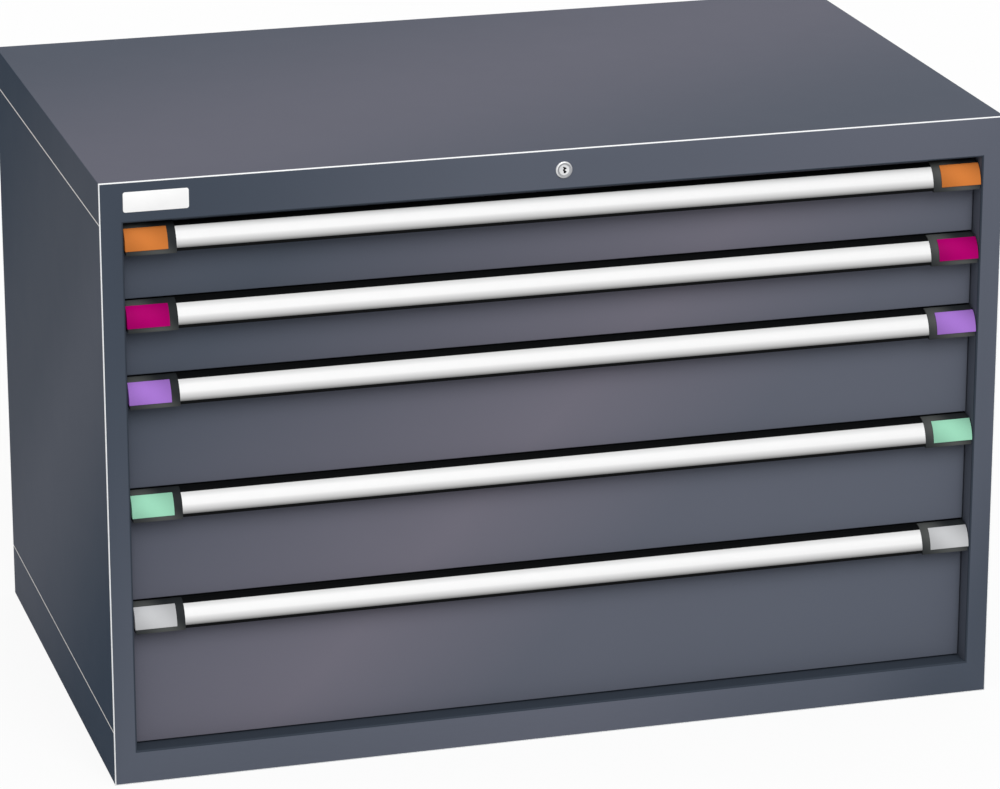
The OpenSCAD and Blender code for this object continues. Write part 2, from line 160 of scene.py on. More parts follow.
def colour(name, description, code):
    """A colour that a user may change."""
    return bpy.props.FloatVectorProperty(
        name=name, description=description, default=srgb(code), min=0.0, max=1.0, size=3,
        subtype="COLOR")


class CabinetSizes(bpy.types.PropertyGroup):
    """Sizes of the sheet-metal and plastic details"""

    fold_radius: length("Fold radius", "Outer radius of the folds in the sheet steel", 0.0016)
    edge_radius: length("Edge radius", "Radius of the frame's bright outer edge", 0.0014)
    # The fold round the drawers is darkened by a painted shade finish.
    opening_fold: length("Opening fold", "Radius of the frame's dark fold round the drawers", 0.0024)
    side_gap: length("Side gap", "Gap between a drawer front and each stile", 0.0015)
    seam_bead: length("Seam bead", "Width of the pale bead in the side seams", 0.002)
    slot_pitch: length("Slot pitch", "Distance between slots in the tray walls", 0.017)
    slot_width: length("Slot width", "Width of a slot in the tray walls", 0.005)
    slot_foot: length("Slot foot", "Height of the tray wall below its slots", 0.028)
    slot_head: length("Slot head", "Height of the tray wall above its slots", 0.01)
    tray_sheet: length("Tray sheet", "Thickness of the trays' steel sheet", 0.0015)
    ladder_pitch: length("Ladder pitch", "Distance between slots in the uprights", 0.025)
    ladder_slot: length("Ladder slot", "Width and height of a slot in the uprights", 0.014)
    rivet_radius: length("Rivet radius", "Radius of the rivet heads", 0.004)
    rivet_pitch: length("Rivet pitch", "Distance between rivets on the back", 0.12)
    grip_wall: length("Grip wall", "Wall thickness of the grips", 0.0022)
    grip_lip: length("Grip lip", "Depth of the lip at a grip's lower edge", 0.006)
    grip_web: length("Grip web", "Height of the web that holds a grip on its front", 0.014)
    moulded_edge: length("Moulded edge", "Rounding of the plastic caps and clips", 0.0007)


class CabinetColours(bpy.types.PropertyGroup):
    """Colours of the finishes"""

    paint: colour("Paint", "Powder coat of the cabinet", "#5b606c")
    # The light, dark and deep tones are painted highlight and painted shade laid into the powder
    # coat's colour.
    paint_highlight: colour("Light paint", "Lightest tone of the powder coat", "#6d6b77")
    paint_shade: colour("Dark paint", "Darkest tone of the powder coat", "#414955")
    paint_deep_shade: colour("Deep paint", "Tone of the side sheets at their lower front corner", "#2e3c4d")
    # The sill tone is painted shade for the bottom rail's upper face and the fold round the drawers.
    sill: colour("Sill", "Upper face of the bottom rail and fold round the drawers", "#363d47")
    # A pale tone painted as a highlight along the frame's outer edge.
    edge: colour("Edge", "Bright line round the front frame", "#f4f5f6")
    # A pale tone painted as a highlight in the side seams.
    highlight_strip: colour("Seam bead", "Pale bead in the side seams", "#eeebe6")
    zinc: colour("Zinc", "Zinc-plated slides and lock works", "#b9bcc0")
    chrome: colour("Lock", "Satin nickel of the lock", "#d9dadc")
    # The groove's darker tone is painted shade in the sunk ring.
    groove: colour("Groove", "Sunk ring round the lock's core", "#85868a")
    plate: colour("Plate", "Blank name plate", "#f8f8f8")
    grip: colour("Grip", "Black grips", "#0d0e0f")
    label: colour("Label", "White label strips", "#eaeaea")
    cap: colour("Cap", "Corners of the dark end caps", "#222527")
    # The light cap tone is a painted sheen.
    cap_sheen: colour("Light cap", "Middle of the dark end caps", "#4b4d4c")
    nylon: colour("Roller", "Rollers of the slides", "#26282a")
    clip_1: colour("Clip 1", "Clips of the first drawer", "#cd7939")
    clip_2: colour("Clip 2", "Clips of the second drawer", "#a90067")
    clip_3: colour("Clip 3", "Clips of the third drawer", "#a273cb")
    clip_4: colour("Clip 4", "Clips of the fourth drawer", "#98d3b6")
    clip_5: colour("Clip 5", "Clips of the fifth drawer", "#c0c1c3")


# Outlines in two coordinates

def quarter(steps):
    """Points of a rounded edge with a radius of 1, as their distances from the two flat faces."""
    angles = [math.radians(90 * i / steps) for i in range(steps + 1)]
    return [(1 - math.cos(a), 1 - math.sin(a)) for a in angles]


def offset(path, distance):
    """The open path moved sideways, to the left of its run for a positive distance."""
    points = [Vector(p) for p in path]
    runs = [(b - a).normalized() for a, b in zip(points, points[1:])]
    lefts = [Vector((-run.y, run.x)) for run in runs]
    moved = [points[0] + lefts[0] * distance]
    for point, left, following in zip(points[1:], lefts, lefts[1:]):
        moved.append(point + (left + following) * distance / (1 + left.dot(following)))
    moved.append(points[-1] + lefts[-1] * distance)
    return moved


def rounded(path, radius, steps=4):
    """The open path with its inner corners rounded."""
    points = [Vector(p) for p in path]
    smooth = [points[0]]
    for before, corner, after in zip(points, points[1:], points[2:]):
        back = (before - corner).normalized()
        ahead = (after - corner).normalized()
        half = back.angle(ahead) / 2
        centre = corner + (back + ahead).normalized() * radius / math.sin(half)
        start = corner + back * radius / math.tan(half) - centre
        end = corner + ahead * radius / math.tan(half) - centre
        arc = [start.slerp(end, i / steps).normalized() for i in range(steps + 1)]
        smooth += [centre + spoke * radius for spoke in arc]
    return smooth + [points[-1]]


def folded(path, thickness, radius):
    """Outline of a sheet folded along the path, with the thickness on the inside of its turns."""
    points = [Vector(p) for p in path]
    first = points[1] - points[0]
    second = points[2] - points[1]
    inside = math.copysign(thickness, first.cross(second))
    inner = rounded(offset(path, inside), max(radius - thickness, thickness / 5))
    return rounded(path, radius) + inner[::-1]


def stadium(y0, y1, z0, z1):
    """A bar in Y and Z with half-round ends."""
    steps = 10
    radius = (z1 - z0) / 2
    middle = (z0 + z1) / 2
    outline = []
    for centre, turn in ((y1 - radius, -90), (y0 + radius, 90)):
        for i in range(steps + 1):
            angle = math.radians(turn + 180 * i / steps)
            outline.append((centre + radius * math.cos(angle), middle + radius * math.sin(angle)))
    return outline


# Solids

AXIS_POINT = {
    "x": lambda t, p: Vector((t, p[0], p[1])),
    "y": lambda t, p: Vector((p[0], t, p[1])),
    "z": lambda t, p: Vector((p[0], p[1], t)),
}


def upright_ring(x, z0, z1, y):
    """The corners of a rectangle in X and Z that is centred in X."""
    return [(-x, y, z0), (x, y, z0), (x, y, z1), (-x, y, z1)]


def loft(mesh, rings, closed=False):
    """Faces between rings of points, and returns the faces of each step."""
    loops = [[mesh.verts.new(p) for p in ring] for ring in rings]
    pairs = list(zip(loops, loops[1:]))
    if closed:
        pairs.append((loops[-1], loops[0]))
    steps = []
    for low, high in pairs:
        faces = []
        for i, vert in enumerate(low):
            j = (i + 1) % len(low)
            faces.append(mesh.faces.new((vert, low[j], high[j], high[i])))
        steps.append(faces)
    if not closed:
        steps.append([mesh.faces.new(loops[0][::-1]), mesh.faces.new(loops[-1])])
    return steps


def prism(mesh, outline, axis, start, end):
    """A closed outline run along an axis."""
    place = AXIS_POINT[axis]
    loft(mesh, [[place(t, p) for p in outline] for t in (start, end)])


def slab(mesh, low, high):
    """A box between two corners."""
    outline = [(low[0], low[1]), (high[0], low[1]), (high[0], high[1]), (low[0], high[1])]
    prism(mesh, outline, "z", low[2], high[2])


def turned(mesh, profile, axis, centre, segments=48, closed=False):
    """A profile of radius and axial place turned round an axis through centre."""
    place = AXIS_POINT[axis]
    turns = [2 * math.pi * i / segments for i in range(segments)]
    rings = []
    for radius, along in profile:
        ring = [(radius * math.cos(a), radius * math.sin(a)) for a in turns]
        rings.append([Vector(centre) + place(along, p) for p in ring])
    return loft(mesh, rings, closed)


def channels(mesh, open_x, web_x, z0, end_y):
    """A channel at each side of the cabinet, from the front of the slides to their end."""
    z1 = z0 + RAIL_HEIGHT
    for side in (1, -1):
        path = [(open_x, z0), (web_x, z0), (web_x, z1), (open_x, z1)]
        outline = folded([(side * x, z) for x, z in path], RAIL_WALL, RAIL_FOLD)
        prism(mesh, outline, "y", RAIL_Y0, end_y)


def soften(mesh, width, segments=2):
    """Rounds the sharp edges of everything in the mesh."""
    mesh.normal_update()
    limit = math.radians(SOFT_ANGLE)
    sharp = [e for e in mesh.edges if len(e.link_faces) == 2 and e.calc_face_angle() > limit]
    bmesh.ops.bevel(mesh, geom=sharp, offset=width, segments=segments, profile=0.5,
                    affect="EDGES", clamp_overlap=True)


def linked(name, data):
    """A new object in the scene."""
    made = bpy.data.objects.new(name, data)
    bpy.context.scene.collection.objects.link(made)
    return made


def loose(name, mesh):
    """Turns a bmesh into an object, with its faces turned outwards."""
    bmesh.ops.recalc_face_normals(mesh, faces=mesh.faces[:])
    data = bpy.data.meshes.new(name)
    mesh.to_mesh(data)
    mesh.free()
    return linked(name, data)


def discard(made):
    """Takes an object and its mesh away."""
    data = made.data
    bpy.data.objects.remove(made)
    bpy.data.meshes.remove(data)


def piece(name, mesh, finishes, body, replaces=()):
    """Turns a bmesh into an object that rides on a body of the frame."""
    made = loose(name, mesh)
    for finish in finishes:
        made.data.materials.append(bpy.data.materials[finish])
    made.data.shade_smooth()
    made.data.set_sharp_from_angle(angle=math.radians(SHARP_ANGLE))
    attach(made, body)
    if replaces:
        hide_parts(*replaces)
    return made


def cut(made, cutter_mesh):
    """Takes the cutter's shape out of a piece."""
    cutter = loose("cutter", cutter_mesh)
    modifier = made.modifiers.new("cut", "BOOLEAN")
    modifier.object = cutter
    modifier.solver = "EXACT"
    graph = bpy.context.evaluated_depsgraph_get()
    whole = made.data
    made.data = bpy.data.meshes.new_from_object(made.evaluated_get(graph))
    made.data.name = whole.name
    made.modifiers.remove(modifier)
    bpy.data.meshes.remove(whole)
    discard(cutter)


# Rows of like shapes, made by geometry nodes

def add(tree, kind, inputs=(), **settings):
    """A node whose inputs are given by name or number, as values or as sockets to link."""
    node = tree.nodes.new(kind)
    for key, value in settings.items():
        setattr(node, key, value)
    for key, value in dict(inputs).items():
        if isinstance(value, bpy.types.NodeSocket):
            tree.links.new(value, node.inputs[key])
        else:
            node.inputs[key].default_value = value
    return node


def row_tree():
    """A node tree that repeats a shape along a straight row."""
    tree = bpy.data.node_groups.get("cabinet_row")
    if tree:
        return tree
    tree = bpy.data.node_groups.new("cabinet_row", "GeometryNodeTree")
    sockets = (
        ("Shape", "NodeSocketObject"), ("Count", "NodeSocketInt"), ("Start", "NodeSocketVector"),
        ("Step", "NodeSocketVector"), ("Finish", "NodeSocketMaterial"))
    for name, kind in sockets:
        tree.interface.new_socket(name, in_out="INPUT", socket_type=kind)
    tree.interface.new_socket("Row", in_out="OUTPUT", socket_type="NodeSocketGeometry")
    given = add(tree, "NodeGroupInput").outputs
    run = {"Count": given["Count"], "Start Location": given["Start"], "Offset": given["Step"]}
    points = add(tree, "GeometryNodeMeshLine", run, mode="OFFSET").outputs["Mesh"]
    shape = add(tree, "GeometryNodeObjectInfo", {"Object": given["Shape"]}).outputs["Geometry"]
    row = add(tree, "GeometryNodeInstanceOnPoints", {"Points": points, "Instance": shape})
    solid = add(tree, "GeometryNodeRealizeInstances", {"Geometry": row.outputs["Instances"]})
    finished = add(tree, "GeometryNodeSetMaterial", {
        "Geometry": solid.outputs["Geometry"], "Material": given["Finish"]})
    add(tree, "NodeGroupOutput", {"Row": finished.outputs["Geometry"]})
    return tree


def add_rows(mesh, shape_mesh, rows, finish):
    """Adds rows of a shape to the mesh. A row is its first place, its step and its count."""
    tree = row_tree()
    sockets = {s.name: s.identifier for s in tree.interface.items_tree if s.in_out == "INPUT"}
    shape = loose("row_shape", shape_mesh)
    for start, step, count in rows:
        holder = linked("row", bpy.data.meshes.new("row"))
        modifier = holder.modifiers.new("row", "NODES")
        modifier.node_group = tree
        given = {"Shape": shape, "Count": count, "Start": start, "Step": step,
                 "Finish": bpy.data.materials[finish]}
        for name, value in given.items():
            modifier[sockets[name]] = value
        graph = bpy.context.evaluated_depsgraph_get()
        row = bpy.data.meshes.new_from_object(holder.evaluated_get(graph))
        mesh.from_mesh(row)
        bpy.data.meshes.remove(row)
        discard(holder)
    discard(shape)


def rivet_shape(radius, height, axis, side):
    """A flat-domed rivet head that rises from the origin along an axis."""
    head = bmesh.new()
    profile = ((1.0, -0.3), (1.0, 0.25), (0.7, 0.8), (0.25, 1.0))
    turned(head, [(radius * r, height * t * side) for r, t in profile], axis, (0, 0, 0), segments=12)
    return head


# Finishes

def shader_of(name, **sockets):
    """A new material and its shader, with the sockets that are the same all over."""
    material = bpy.data.materials.new(name)
    material.use_nodes = True
    shader = material.node_tree.nodes["Principled BSDF"]
    for key, value in sockets.items():
        shader.inputs[key.replace("_", " ").title().replace("Ior", "IOR")].default_value = value
    return material.node_tree, shader


def noise(tree, scale, stretch=(1, 1, 1)):
    """A noise value on the piece's own coordinates."""
    place = add(tree, "ShaderNodeTexCoord").outputs["Object"]
    mapped = add(tree, "ShaderNodeMapping", {"Vector": place, "Scale": stretch}).outputs["Vector"]
    cloud = add(tree, "ShaderNodeTexNoise", {"Vector": mapped, "Scale": scale, "Detail": 2.0})
    return cloud.outputs["Fac"]


def spread(tree, value, low, high):
    """The value from 0 to 1 spread between low and high."""
    limits = {"Value": value, "To Min": low, "To Max": high}
    return add(tree, "ShaderNodeMapRange", limits).outputs["Result"]


def surface(tree, shader, tone, patches, relief, rough, stretch=(1, 1, 1)):
    """A tone in patches of a scale and amount, a relief of a scale and depth, and an uneven gloss."""
    scale, amount = patches
    value = spread(tree, noise(tree, scale), 1 - amount, 1 + amount)
    mixed = add(tree, "ShaderNodeHueSaturation", {"Value": value, "Color": tone})
    tree.links.new(mixed.outputs["Color"], shader.inputs["Base Color"])
    scale, depth = relief
    height = noise(tree, scale, stretch)
    bump = add(tree, "ShaderNodeBump", {"Height": height, "Strength": 0.25, "Distance": depth})
    tree.links.new(bump.outputs["Normal"], shader.inputs["Normal"])
    gloss = spread(tree, noise(tree, scale / 40, stretch), *rough)
    tree.links.new(gloss, shader.inputs["Roughness"])


def seen_white(tree):
    """1 for the rays of the camera, of reflections and of glass, and 0 for those that only light."""
    path = add(tree, "ShaderNodeLightPath").outputs
    first = path["Is Camera Ray"]
    for name in ("Is Glossy Ray", "Is Transmission Ray"):
        first = add(tree, "ShaderNodeMath", {0: first, 1: path[name]}, operation="MAXIMUM").outputs[0]
    return first


def shaded(tree, share, stops, easing):
    """A colour that changes with a share, through stops of share and colour."""
    ramp = add(tree, "ShaderNodeValToRGB", {"Fac": share})
    ramp.color_ramp.interpolation = easing
    marks = ramp.color_ramp.elements
    for place, _ in stops[1:-1]:
        marks.new(place)
    for mark, (place, tone) in zip(marks, stops):
        mark.position = place
        mark.color = (*tone, 1)
    return ramp.outputs["Color"]


def tones(tree, direction, stops, easing="EASE"):
    """A colour that changes with the distance along a direction, in metres."""
    place = add(tree, "ShaderNodeTexCoord").outputs["Object"]
    run = Vector(direction).normalized()
    along = add(tree, "ShaderNodeVectorMath", {0: place, 1: run}, operation="DOT_PRODUCT")
    first = stops[0][0]
    last = stops[-1][0]
    limits = {"Value": along.outputs["Value"], "From Min": first, "From Max": last}
    share = add(tree, "ShaderNodeMapRange", limits).outputs["Result"]
    shares = [((distance - first) / (last - first), tone) for distance, tone in stops]
    return shaded(tree, share, shares, easing)


def blend(first, second, share):
    """A colour between two."""
    return tuple(a + (b - a) * share for a, b in zip(first, second))


def powder_coat(name, direction, stops, easing="EASE"):
    """Satin powder coat whose tone drifts along a direction, as bands of painted sheen and painted
    shade.
    """
    tree, shader = shader_of(name, specular_ior_level=0.05)
    tone = tones(tree, direction, stops, easing)
    surface(tree, shader, tone, patches=(9.0, 0.015), relief=(900.0, 0.0002), rough=(0.7, 0.78))


def plastic(name, tone, rough, specular=0.3):
    """Moulded plastic with a fine eroded grain."""
    tree, shader = shader_of(name, specular_ior_level=specular)
    surface(tree, shader, (*tone, 1), patches=(60.0, 0.03), relief=(1600.0, 0.0001), rough=rough)


class CABINET_OT_finishes(bpy.types.Operator):
    """Make the paint, metal and plastic finishes"""

    bl_idname = "cabinet.finishes"
    bl_label = "Finishes"

    def execute(self, context):
        tone = context.scene.cabinet_colours
        mid = tone.paint
        light = tone.paint_highlight
        dark = tone.paint_shade
        # Fronts: a diagonal band of painted sheen, with painted shade towards both ends.
        powder_coat("paint_fronts", (1, 0, -1), (
            (-0.74, blend(dark, mid, 0.4)), (-0.31, light), (-0.1, blend(mid, light, 0.15)),
            (0.15, mid), (0.36, blend(dark, mid, 0.85))), "LINEAR")
        # Frame: painted sheen across the middle, with painted shade towards both ends of its run.
        powder_coat("paint_frame", (1, 0, -0.6), (
            (-0.87, dark), (-0.4, blend(dark, mid, 0.85)), (0.0, blend(mid, light, 0.15)),
            (0.3, blend(dark, mid, 0.75)), (0.46, blend(dark, mid, 0.25))))
        # Top: a band of painted sheen across the middle, with painted shade towards both ends.
        powder_coat("paint_top", (0.6, -1, 0), (
            (-0.62, blend(dark, mid, 0.65)), (0.0, blend(mid, light, 0.55)),
            (0.5, blend(dark, mid, 0.75))))
        # Sides: painted shade, deepest at the lower front, with a lighter band of painted sheen
        # across the middle.
        powder_coat("paint_sides", (0, 0.8, 1), (
            (-0.12, tone.paint_deep_shade), (0.26, blend(dark, mid, 0.9)), (0.42, blend(dark, mid, 0.45)),
            (0.8, blend(dark, tone.paint_deep_shade, 0.8))))
        # Back, trays and the frame's inner returns: painted shade, darker towards the bottom.
        powder_coat("paint_plain", (0, 0, 1), ((0.0, blend(dark, mid, 0.8)), (0.8, mid)))
        # Sill and the fold round the drawers: one flat dark tone as painted shade in the opening.
        powder_coat("paint_sill", (1, 0, 0), ((-0.6, tone.sill), (0.6, tone.sill)))
        plastic("bright_edge", tone.edge, (0.3, 0.4))
        plastic("seam_bead", tone.highlight_strip, (0.4, 0.5))
        plastic("plate_enamel", tone.plate, (0.15, 0.22), 0.2)
        plastic("grip_plastic", tone.grip, (0.42, 0.5), 0.04)
        plastic("roller_nylon", tone.nylon, (0.4, 0.5))
        # Caps: painted sheen along each end's diagonal, painted shade towards the corners.
        cap_sheen_marks = (
            (0.0, blend(tone.cap, tone.cap_sheen, 0.1)), (0.46, tone.cap_sheen), (0.76, tone.cap))
        for n in DRAWERS:
            caps = f"drawer_{n}_end_caps"
            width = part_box(caps)[1].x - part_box(f"drawer_{n}_handle")[1].x
            clip = getattr(tone, f"clip_{n}")
            # Clips: darker corners as painted shade round a painted sheen in the middle.
            shade = blend(clip, (0, 0, 0), 0.25)
            clip_sheen_marks = ((0.0, shade), (0.5, clip), (1.0, shade))
            self.end_moulding(f"cap_plastic_{n}", caps, width, cap_sheen_marks, 0.1)
            self.end_moulding(f"clip_plastic_{n}", f"drawer_{n}_clips", CLIP_WIDTH, clip_sheen_marks, 0.02)
        self.zinc(tone)
        chrome = tone.chrome
        groove = tone.groove
        # Ring: painted highlight at its upper left fading to painted shade; groove: darker as painted
        # shade in the sunk ring; core face: painted sheen.
        bright = blend(chrome, (1, 1, 1), 0.4)
        self.nickel("lock_ring", bright, blend(chrome, groove, 0.75))
        self.nickel("lock_groove", groove, blend(groove, chrome, 0.5))
        self.nickel("lock_face", blend(chrome, groove, 0.15), bright)
        self.label_paper(tone)
        return {"FINISHED"}

    def end_moulding(self, name, node, width, marks, specular):
        """Plastic of the pieces at a grip's two ends, with bands of painted sheen and painted shade
        along the rising diagonal of each.
        """
        tree, shader = shader_of(name, specular_ior_level=specular)
        low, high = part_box(node)
        corner = Vector((width, 0, high.z - low.z)) / 2
        rising = Vector((1, 0, 1)).normalized()
        reach = rising.dot(corner)
        stops = []
        for x in (low.x + corner.x, high.x - corner.x):
            first = rising.dot((x, 0, low.z + corner.z)) - reach
            stops += [(first + 2 * reach * share, shade) for share, shade in marks]
        surface(tree, shader, tones(tree, rising, stops), patches=(60.0, 0.03),
                relief=(1600.0, 0.0001), rough=(0.45, 0.55))

    def zinc(self, tone):
        """Zinc plate with a grain that is drawn along the slides."""
        tree, shader = shader_of("zinc_plate", metallic=1.0)
        surface(tree, shader, (*tone.zinc, 1), patches=(25.0, 0.08), relief=(500.0, 0.00005),
                rough=(0.3, 0.45), stretch=(1, 0.05, 1))

    def nickel(self, name, first, last):
        """Satin nickel whose tone drifts from the lock's upper left to its lower right, as painted
        highlight and painted shade.
        """
        tree, shader = shader_of(name, metallic=0.45)
        falling = Vector((1, 0, -1)).normalized()
        middle = falling.dot((0, 0, LOCK_Z))
        stops = ((middle - LOCK_HI.x, first), (middle + LOCK_HI.x, last))
        surface(tree, shader, tones(tree, falling, stops), patches=(25.0, 0.03),
                relief=(500.0, 0.00005), rough=(0.28, 0.38))

    def label_paper(self, tone):
        """White paper under a clear cover, greyed towards its lower and upper edges as painted shade.
        """
        tree, shader = shader_of(
            "label_paper", specular_ior_level=0.1, coat_weight=0.1, coat_roughness=0.1)
        place = add(tree, "ShaderNodeUVMap", uv_map="strip").outputs["UV"]
        height = add(tree, "ShaderNodeSeparateXYZ", {0: place}).outputs["Y"]
        # Levels of the white across the strip's height; the lower levels at its edges are painted
        # shade.
        levels = ((0.0, 0.16), (0.18, 0.6), (0.45, 1.0), (0.76, 1.0), (1.0, 0.8))
        stops = [(share, blend((0, 0, 0), tone.label, level)) for share, level in levels]
        surface(tree, shader, shaded(tree, height, stops, "LINEAR"), patches=(40.0, 0.01),
                relief=(700.0, 0.00005), rough=(0.2, 0.26))


class CABINET_OT_shell(bpy.types.Operator):
    """Build the folded top and base, the side sheets and the back"""

    bl_idname = "cabinet.shell"
    bl_label = "Shell"

    def execute(self, context):
        size = context.scene.cabinet_sizes
        self.front = FRONT_Y + size.edge_radius
        self.folded_tray("top_cover", "top_panel", TOP_SEAM_Z, HEIGHT, size)
        self.folded_tray("base_pan", "base_panel", BASE_SEAM_Z, 0.0, size)
        for name, side in (("right", 1), ("left", -1)):
            self.side_sheet(name, side, size)
        self.back(size)
        return {"FINISHED"}

    def folded_tray(self, name, node, rim_z, flat_z, size):
        """A flat sheet with a flange folded down or up at each side."""
        mesh = bmesh.new()
        path = [(-SIDE_X, rim_z), (-SIDE_X, flat_z), (SIDE_X, flat_z), (SIDE_X, rim_z)]
        prism(mesh, folded(path, SHEET, size.fold_radius), "y", self.front, BACK_Y)
        mesh.normal_update()
        # Flanges that face sideways take the sides' painted shade, the flat sheet the top's painted
        # sheen.
        for face in mesh.faces:
            sideways = abs(face.normal.x) > 0.7
            face.material_index = int(sideways)
        piece(name, mesh, ["paint_top", "paint_sides"], "cabinet", [node])

    def side_sheet(self, name, side, size):
        """A side sheet with its lap strips, and a pale strip in each seam as a painted highlight."""
        low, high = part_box(f"{name}_side_panel")
        outer = side * SIDE_X
        inner = side * (SIDE_X - SHEET)
        highlight_strip = size.seam_bead
        mesh = bmesh.new()
        slab(mesh, (inner, self.front, BASE_SEAM_Z + highlight_strip), (outer, BACK_Y, TOP_SEAM_Z - highlight_strip))
        soften(mesh, SHEET / 8, 1)
        lap = 2 * (BASE_SEAM_Z - low.z)
        for z in (low.z, high.z - lap):
            slab(mesh, (side * (SIDE_X - 2 * SHEET), self.front, z), (inner, BACK_Y - SHEET, z + lap))
        piece(f"{name}_side_sheet", mesh, ["paint_sides"], "cabinet",
              [f"{name}_side_panel"])
        # Pale strips along the seams: painted highlight where the side sheet meets the folded
        # flanges.
        beads = bmesh.new()
        for z in (BASE_SEAM_Z, TOP_SEAM_Z - highlight_strip):
            slab(beads, (inner, self.front, z), (side * (SIDE_X - SHEET / 20), BACK_Y, z + highlight_strip))
        piece(f"{name}_seam_beads", beads, ["seam_bead"], "cabinet")

    def back(self, size):
        """A flat back with a border of rivets."""
        rise = SHEET / 2
        face = BACK_Y - rise
        mesh = bmesh.new()
        slab(mesh, BACK_LO, (BACK_HI.x, face, BACK_HI.z))
        soften(mesh, SHEET / 5, 1)
        piece("back_sheet", mesh, ["paint_plain"], "cabinet", ["back_panel"])
        inset = 4 * size.rivet_radius
        x = BACK_HI.x - inset
        z0 = BACK_LO.z + inset
        z1 = BACK_HI.z - inset
        across = round(2 * x / size.rivet_pitch)
        up = round((z1 - z0) / size.rivet_pitch)
        step_x = Vector((2 * x / across, 0, 0))
        step_z = Vector((0, 0, (z1 - z0) / up))
        rows = [((-x, face, z), step_x, across + 1) for z in (z0, z1)]
        rows += [(Vector((s * x, face, z0)) + step_z, step_z, up - 1) for s in (1, -1)]
        heads = bmesh.new()
        add_rows(heads, rivet_shape(size.rivet_radius, rise, "y", 1), rows, "zinc_plate")
        piece("back_rivets", heads, ["zinc_plate"], "cabinet")


class CABINET_OT_front_frame(bpy.types.Operator):
    """Build the front frame round the drawers, and its blank plate"""

    bl_idname = "cabinet.front_frame"
    bl_label = "Front frame"

    def execute(self, context):
        size = context.scene.cabinet_sizes
        self.face_frame(size)
        self.blank_plate()
        return {"FINISHED"}

    def face_frame(self, size):
        """Stiles and rails as one folded ring, with a pale painted highlight along its outer edge and
        painted shade on the fold and returns round the opening.
        """
        opening_x = FRONT_X + size.side_gap

        def outer(inset, y):
            return upright_ring(SIDE_X - inset, inset, HEIGHT - inset, y)

        def inner(outset, y):
            return upright_ring(opening_x + outset, OPENING_Z0 - outset, OPENING_Z1 + outset, y)

        steps = 4
        turn = quarter(steps)
        edge = size.edge_radius
        fold = size.opening_fold
        rings = [outer(edge * a, FRONT_Y + edge * b) for a, b in turn]
        rings += [inner(fold * b, FRONT_Y + fold * a) for a, b in turn]
        rings += [inner(0, RETURN_Y), inner(SHEET, RETURN_Y), inner(SHEET, FRONT_Y + SHEET)]
        rings += [outer(edge, FRONT_Y + SHEET), outer(edge, FRONT_Y + edge)]
        mesh = bmesh.new()
        bands = loft(mesh, rings, closed=True)
        # The outer rounded edge takes the pale painted highlight.
        for face in sum(bands[:steps], []):
            face.material_index = 1
        # The fold round the opening takes the sill's painted shade.
        for face in sum(bands[steps + 1:2 * steps + 1], []):
            face.material_index = 2
        # The inner returns take painted shade: the flat sill tone on the bottom rail, the plain
        # coat's darker-towards-the-bottom tone on the stiles and top rail.
        for face in bands[2 * steps + 1]:
            on_sill = face.calc_center_median().z < OPENING_Z0 + fold
            face.material_index = 2 if on_sill else 3
        finishes = ["paint_frame", "bright_edge", "paint_sill", "paint_plain"]
        made = piece("face_frame", mesh, finishes, "cabinet", ["front_frame"])
        barrel = bmesh.new()
        bore = (LOCK_HI.z - LOCK_LO.z) * 0.45
        reach = (RETURN_Y - FRONT_Y) / 3
        turned(barrel, ((bore, -reach), (bore, reach)), "y", (0, FRONT_Y, LOCK_Z))
        cut(made, barrel)

    def blank_plate(self):
        """A plain enamelled plate with round corners."""
        low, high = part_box("name_plate")
        radius = (high.z - low.z) / 9
        middle = (low.x + high.x) / 2
        path = [(middle, low.z), (high.x, low.z), (high.x, high.z), (low.x, high.z), (low.x, low.z),
                (middle, low.z)]
        mesh = bmesh.new()
        prism(mesh, rounded(path, radius, 6)[:-1], "y", low.y, high.y)
        soften(mesh, (high.y - low.y) / 3)
        piece("blank_plate", mesh, ["plate_enamel"], "cabinet", ["name_plate"])


